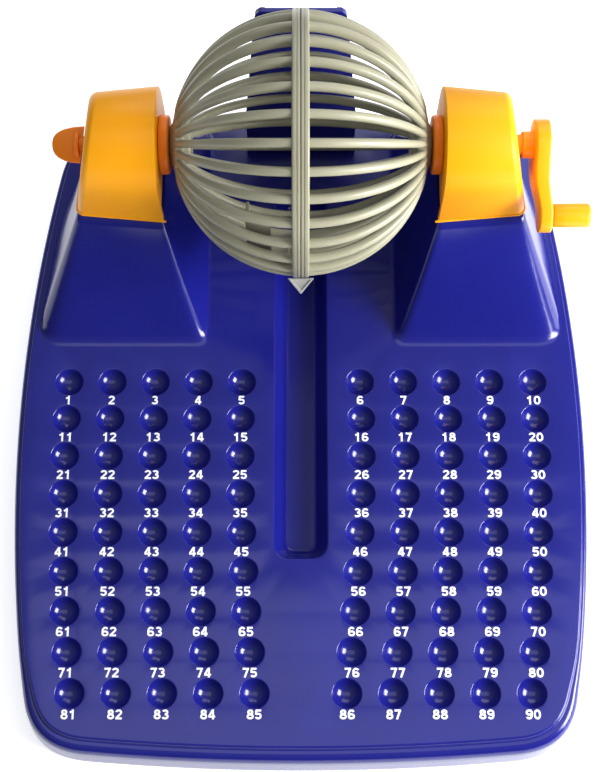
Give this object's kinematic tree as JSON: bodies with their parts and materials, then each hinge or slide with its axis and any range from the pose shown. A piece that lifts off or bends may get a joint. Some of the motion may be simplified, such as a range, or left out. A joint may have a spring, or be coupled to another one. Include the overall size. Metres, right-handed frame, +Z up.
{
  "type": "bingo cage",
  "caption": "Crank-turned ribbed ball cage on two hooded pillars over a sloping tray with a ball run and rows of numbered ball cups.",
  "frame": {"origin": "centre of the overall outline at table level", "axes": "+X to the crank side, +Y from the numbered tray towards the rear guard, +Z up"},
  "size_m": [0.2904, 0.3512, 0.1846],
  "materials": {
    "blue_tray": "glossy moulded polystyrene",
    "blue_guard": "glossy moulded polystyrene",
    "steel_screws": "zinc plated",
    "orange_hoods": "satin moulded plastic",
    "orange_bushes": "satin moulded plastic",
    "grey_cage": "satin moulded plastic",
    "grey_scoop": "satin moulded plastic",
    "light_grey_beak": "satin moulded plastic",
    "orange_crank": "satin moulded plastic",
    "spring_steel": "bright spring steel",
    "orange_grip": "satin moulded plastic",
    "orange_pin": "satin moulded plastic",
    "rubber_feet": "matt"
  },
  "bodies": {
    "base": {"tray_moulding": "blue_tray", "rear_ball_guard": "blue_guard", "guard_screw_left": "steel_screws", "guard_screw_right": "steel_screws", "bearing_hood_left": "orange_hoods", "bearing_hood_right": "orange_hoods", "bearing_bush_left": "orange_bushes", "bearing_bush_right": "orange_bushes", "foot_front_left": "rubber_feet", "foot_front_right": "rubber_feet", "foot_rear_left": "rubber_feet", "foot_rear_right": "rubber_feet"},
    "cage": {"cage_half_left": "grey_cage", "cage_half_right": "grey_cage", "ball_scoop": "grey_scoop", "outlet_beak": "light_grey_beak", "crank": "orange_crank", "shaft_retaining_clip": "spring_steel", "grip_screw": "steel_screws"},
    "grip": {"handle_grip": "orange_grip"},
    "pin": {"axle_pin": "orange_pin"}
  },
  "joints": [
    {"name": "cage_spin", "type": "hinge", "parent": "base", "child": "cage", "pos_m": [0, 0.09863, 0.12179], "axis": [1, 0, 0], "continuous": true},
    {"name": "grip_spin", "type": "hinge", "parent": "cage", "child": "grip", "pos_m": [0, 0.07039, 0.10415], "axis": [1, 0, 0], "continuous": true},
    {"name": "pin_pull", "type": "slide", "parent": "base", "child": "pin", "axis": [-1, 0, 0], "range_m": [0, 0.02]}
  ]
}
